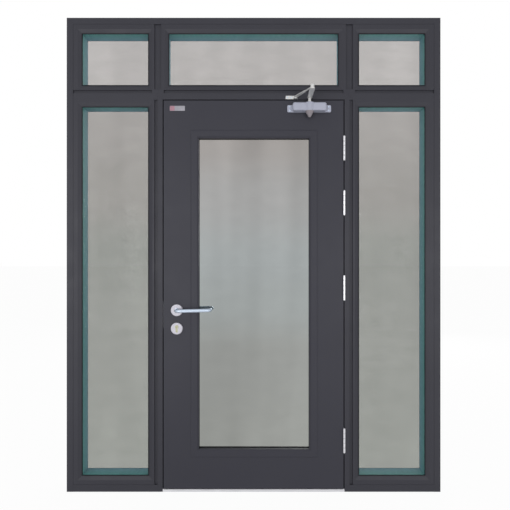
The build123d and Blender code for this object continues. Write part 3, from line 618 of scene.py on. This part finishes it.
pane_low, pane_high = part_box("vision_pane")
for side, pane_face, outward in (("front", pane_low.y, -1), ("rear", pane_high.y, 1)):
    section = wedge(pane_face, outward, vision_gasket_width, vision_gasket_height)
    gasket = piece(f"vision_{side}_gasket", *ring_of(bead_mouth("vision_front"), section), grey_rubber)
    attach(gasket, "leaf")

# Hinges
# Five-knuckle butts of satin stainless steel, with their plates screwed flat on the leaf's edge
# and on the jamb. A grey bearing ring shows in each gap between two knuckles, and is also
# painted shade, standing in for the shade in that gap.
hinges = 4
knuckles = 5
barrel_radius = 0.007
ring_bore = 0.0062
ring_radius = 0.0073
ring_half_height = 0.0013
ring_flat_share = 0.6
ring_sides = 32
plate_off_axis = 0.0003
outer_hole_inset = 0.009
inner_hole_inset = 0.022

satin, satin_tree, satin_surface = new_finish("satin_stainless", roughness=0.28, metallic=1)
satin_lines = grain(satin_tree, size=0.0007, detail=2, stretch=(1, 1, 30))
two_tones(satin_tree, satin_surface, satin_lines, paint(200, 199, 204), paint(216, 215, 220))
uneven_gloss(satin_tree, satin_surface, satin_lines, low=0.24, high=0.36)
finish_node("hinge_pins", satin)

nylon, nylon_tree, nylon_surface = new_finish("bearing_nylon", roughness=0.5)
nylon_specks = grain(nylon_tree, size=0.002)
two_tones(nylon_tree, nylon_surface, nylon_specks, paint(112, 112, 118), paint(128, 128, 134))

# The ring's section: reach from the axis, and height as a share of its half height
ring_section = (
    (ring_bore, -1),
    (ring_radius, -ring_flat_share),
    (ring_radius, ring_flat_share),
    (ring_bore, 1),
)
# The plate's holes: height in knuckles, and how far in from the plate's rear edge
plate_holes = (
    (0.5, outer_hole_inset),
    (1.5, inner_hole_inset),
    (3.5, inner_hole_inset),
    (4.5, outer_hole_inset),
)
ring_points = []
ring_faces = []
jamb_screws = []
edge_screws = []
for number in range(1, hinges + 1):
    finish_node(f"hinge_{number}_frame_leaf", satin)
    finish_node(f"hinge_{number}_door_leaf", satin)
    low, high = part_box(f"hinge_{number}_frame_leaf")
    axis_x = low.x + barrel_radius
    axis_y = low.y + barrel_radius
    pitch = (high.z - low.z) / knuckles
    for gap in range(1, knuckles):
        ring_faces += loop_faces(len(ring_points), ring_sides, len(ring_section))
        for step in range(ring_sides):
            angle = 2 * math.pi * step / ring_sides
            for reach, level in ring_section:
                ring_points.append((
                    axis_x + reach * math.cos(angle),
                    axis_y + reach * math.sin(angle),
                    low.z + gap * pitch + level * ring_half_height,
                ))
    for place, inset in plate_holes:
        spot = (high.y - inset, low.z + place * pitch)
        jamb_screws.append((axis_x + plate_off_axis, *spot))
        edge_screws.append((axis_x - plate_off_axis, *spot))
# The grey rings are bearings, and also painted shade for the gaps between the knuckles.
rings = piece("hinge_bearing_rings", ring_points, ring_faces, nylon, smooth=True)
screws = screw_heads(
    "hinge_jamb_screws", jamb_screws, outward=(-1, 0, 0), radius=0.0042, rise=0.0002, finish=satin
)
for part in (rings, screws):
    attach(part, "frame")
screws = screw_heads(
    "hinge_leaf_screws", edge_screws, outward=(1, 0, 0), radius=0.0042, rise=0.0002, finish=satin
)
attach(screws, "leaf")

# Lock
# Plated case with its forend screwed into the leaf's edge, a latch and a dead bolt, and a brass
# profile cylinder with a turning plug at each end.
forend_screw_inset = 0.012

for name in ("lock_case", "latch_bolt", "dead_bolt"):
    finish_node(name, zinc)

brass, brass_tree, brass_surface = new_finish("satin_brass", roughness=0.3, metallic=1)
brass_specks = grain(brass_tree, size=0.0005)
two_tones(brass_tree, brass_surface, brass_specks, paint(126, 126, 106), paint(144, 143, 122))
for name in ("lock_cylinder", "front_plug", "rear_plug"):
    finish_node(name, brass)

case_low, case_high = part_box("lock_case")
forend_screws = near_ends(case_low, case_high, case_low.x, forend_screw_inset)
screws = screw_heads(
    "forend_screws", forend_screws, outward=(-1, 0, 0), radius=0.004, rise=0.0005, finish=zinc
)
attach(screws, "leaf")

# Roses and levers
# Pressed round covers on each face of the leaf, and handles bent from round stainless bar and
# brushed along it.
lever_steel, lever_tree, lever_surface = new_finish("lever_stainless", roughness=0.3, metallic=0.5)
lever_lines = grain(lever_tree, size=0.0006, detail=2, stretch=(30, 1, 1))
two_tones(lever_tree, lever_surface, lever_lines, paint(186, 200, 218), paint(202, 214, 230))
uneven_gloss(lever_tree, lever_surface, lever_lines, low=0.26, high=0.38)
for name in ("front_lever", "rear_lever"):
    finish_node(name, lever_steel)

rose_steel, rose_tree, rose_surface = new_finish("pressed_stainless", roughness=0.42, metallic=0.7)
rose_lines = grain(rose_tree, size=0.0008, detail=3, stretch=(14, 1, 1))
two_tones(rose_tree, rose_surface, rose_lines, paint(154, 153, 161), paint(170, 168, 176))
for name in ("front_roses", "rear_roses"):
    finish_node(name, rose_steel)

# Door closer
# A cast body in silver enamel on a plate with two ears, a grey cap on its lower spindle, and
# two arms and a shoe pressed from plated steel. Screws hold the ears and the shoe, a nut the arm.
ear_thickness = 0.008
ear_screw_inset = 0.013
ear_middle_height = 0.019
ear_screw_reach = 0.01
shoe_thickness = 0.006
shoe_middle_height = 0.009
shoe_screw_insets = (0.009, 0.03)

enamel, enamel_tree, enamel_surface = new_finish("silver_enamel", roughness=0.4, specular=0.35)
enamel_flake = grain(enamel_tree, size=0.0006, detail=3)
two_tones(enamel_tree, enamel_surface, enamel_flake, paint(165, 168, 184), paint(177, 180, 196))
relief(enamel_tree, enamel_surface, grain(enamel_tree, size=0.003), height=0.00003)
finish_node("closer_body", enamel)

plated, plated_tree, plated_surface = new_finish("plated_pressing", roughness=0.36, metallic=0.3)
plated_cloud = grain(plated_tree, size=0.012, detail=4)
two_tones(plated_tree, plated_surface, plated_cloud, paint(196, 196, 196), paint(214, 214, 212))
for name in ("closer_main_arm", "closer_forearm", "closer_shoe"):
    finish_node(name, plated)

cap_grey, cap_tree, cap_surface = new_finish("grey_cap", roughness=0.5, specular=0.3)
cap_specks = grain(cap_tree, size=0.004)
two_tones(cap_tree, cap_surface, cap_specks, paint(138, 132, 137), paint(148, 142, 147))
finish_node("closer_cap", cap_grey)

body_low, body_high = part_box("closer_body")
ear_face = body_high.y - ear_thickness
ear_middle = body_low.z + ear_middle_height
ear_screws = []
for x in (body_low.x + ear_screw_inset, body_high.x - ear_screw_inset):
    for level in (ear_middle - ear_screw_reach, ear_middle + ear_screw_reach):
        ear_screws.append((x, ear_face, level))
screws = screw_heads(
    "closer_ear_screws", ear_screws, outward=(0, -1, 0), radius=0.0045, rise=0.0012, finish=lever_steel
)
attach(screws, "leaf")

shoe_low, shoe_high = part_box("closer_shoe")
shoe_face = shoe_high.y - shoe_thickness
shoe_middle = shoe_low.z + shoe_middle_height
shoe_screws = [(shoe_low.x + inset, shoe_face, shoe_middle) for inset in shoe_screw_insets]
screws = screw_heads(
    "closer_shoe_screws", shoe_screws, outward=(0, -1, 0), radius=0.004, rise=0.0012, finish=lever_steel
)
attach(screws, "frame")

pivots = {joint["name"]: joint["pos_m"] for joint in frame["joints"] if joint["type"] == "hinge"}
pivot_x, pivot_y = pivots["main_arm_turn"][:2]
arm_top = (pivot_x, pivot_y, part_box("closer_main_arm")[1].z)
nut = screw_heads(
    "closer_arm_nut", [arm_top], outward=(0, 0, 1), radius=0.0065, rise=0.0015, finish=lever_steel
)
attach(nut, "main_arm")


# Label plate
# A small bare plate of coated foil, stuck on the leaf's upper corner on the lock side. Its left
# third is tinted.
def plate(name, x, y, z, corner, finish):
    """Thin upright plate with rounded corners and an eased front edge."""
    quarter_steps = 4
    ease = (y[1] - y[0]) / 2
    centres = (
        (x[1] - corner, z[1] - corner),
        (x[0] + corner, z[1] - corner),
        (x[0] + corner, z[0] + corner),
        (x[1] - corner, z[0] + corner),
    )
    layers = ((y[1], corner), (y[0] + ease, corner), (y[0], corner - ease))
    points = []
    for quarter, (centre_x, centre_z) in enumerate(centres):
        for step in range(quarter_steps + 1):
            angle = math.pi / 2 * (quarter + step / quarter_steps)
            for depth, reach in layers:
                across = centre_x + reach * math.cos(angle)
                up = centre_z + reach * math.sin(angle)
                points.append((across, depth, up))
    count = len(layers)
    back = list(range(0, len(points), count))
    front = list(range(count - 1, len(points), count))
    faces = loop_faces(0, len(back), count)
    return piece(name, points, faces + [back, front], finish)


label_x = (-0.4535, -0.3715)
label_z = (2.0615, 2.0885)
label_thickness = 0.0006
label_corner = 0.002
tint_margin = 0.001
tint_reach = 0.026
tint_thickness = 0.0002
tint_corner = 0.0015

foil, foil_tree, foil_surface = new_finish("label_foil", roughness=0.45)
foil_cloud = grain(foil_tree, size=0.012, detail=3)
two_tones(foil_tree, foil_surface, foil_cloud, paint(150, 148, 157), paint(164, 162, 171))
tinted, tinted_tree, tinted_surface = new_finish("label_tint", roughness=0.45)
tinted_cloud = grain(tinted_tree, size=0.008, detail=3)
two_tones(tinted_tree, tinted_surface, tinted_cloud, paint(158, 112, 126), paint(174, 130, 144))

leaf_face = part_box("leaf_front_skin")[0].y
label_y = (leaf_face - label_thickness, leaf_face)
tint_x = (label_x[0] + tint_margin, label_x[0] + tint_reach)
tint_y = (label_y[0] - tint_thickness, label_y[0])
tint_z = (label_z[0] + tint_margin, label_z[1] - tint_margin)
for part in (
    plate("label_plate", label_x, label_y, label_z, label_corner, foil),
    plate("label_tinted_end", tint_x, tint_y, tint_z, tint_corner, tinted),
):
    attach(part, "leaf")

# Box of the construction model, and of the dressed one
low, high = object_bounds()
